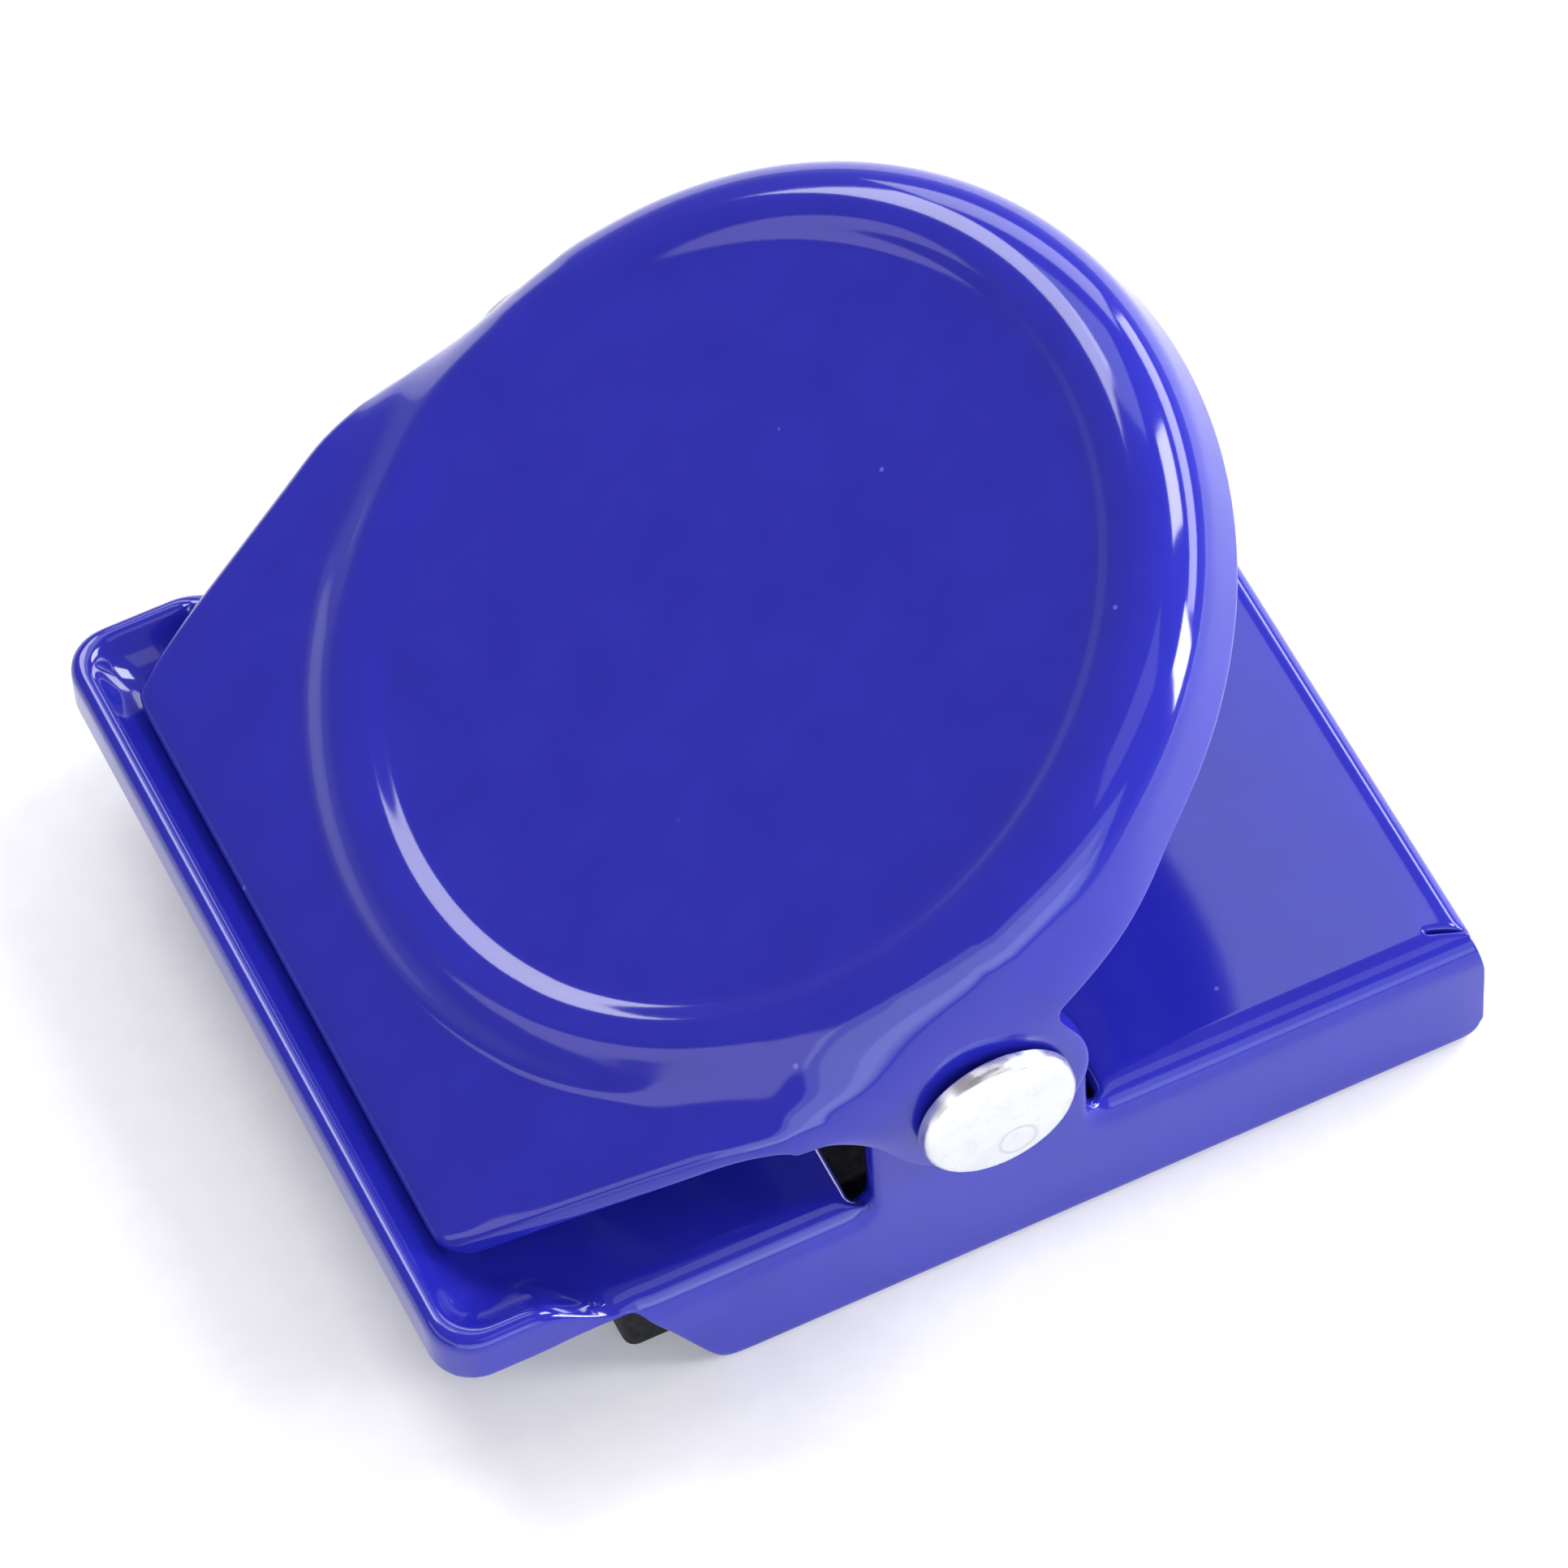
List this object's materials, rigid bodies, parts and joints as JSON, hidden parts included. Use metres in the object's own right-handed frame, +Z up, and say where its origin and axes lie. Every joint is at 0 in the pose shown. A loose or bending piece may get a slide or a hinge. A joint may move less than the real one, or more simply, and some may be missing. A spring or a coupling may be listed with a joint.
{
  "type": "magnetic paper clip",
  "caption": "Magnetic spring clip: painted folded-steel tray holding a flat magnet, with a sprung pressed-steel lever and round finger dish that opens a wide flat jaw.",
  "frame": {"origin": "middle of the footprint, on the surface that the magnet sits on", "axes": "+X from the jaw's edge towards the finger dish, +Y along the rivet towards its cap, +Z up out of the surface"},
  "size_m": [0.035, 0.0332, 0.0221],
  "materials": {
    "blue_enamel": "gloss enamel",
    "bright_rivet": "bright zinc plated",
    "spring_wire": "drawn spring wire",
    "ferrite": "matt ground ferrite",
    "adhesive": "foam adhesive"
  },
  "bodies": {
    "base": {"base_plate": "blue_enamel", "magnet": "ferrite", "magnet_adhesive": "adhesive", "pivot_rivet": "bright_rivet", "rivet_cap": "bright_rivet", "torsion_spring": "spring_wire"},
    "lever": {"clamp_lever": "blue_enamel"}
  },
  "joints": [
    {"name": "lever_hinge", "type": "hinge", "parent": "base", "child": "lever", "pos_m": [0.00025, 0, 0.0097], "axis": [0, 1, 0], "range_deg": [0, 45], "stiffness_Nm_per_rad": 0.03, "springref_deg": -57.3, "deforming": ["torsion_spring"]}
  ]
}
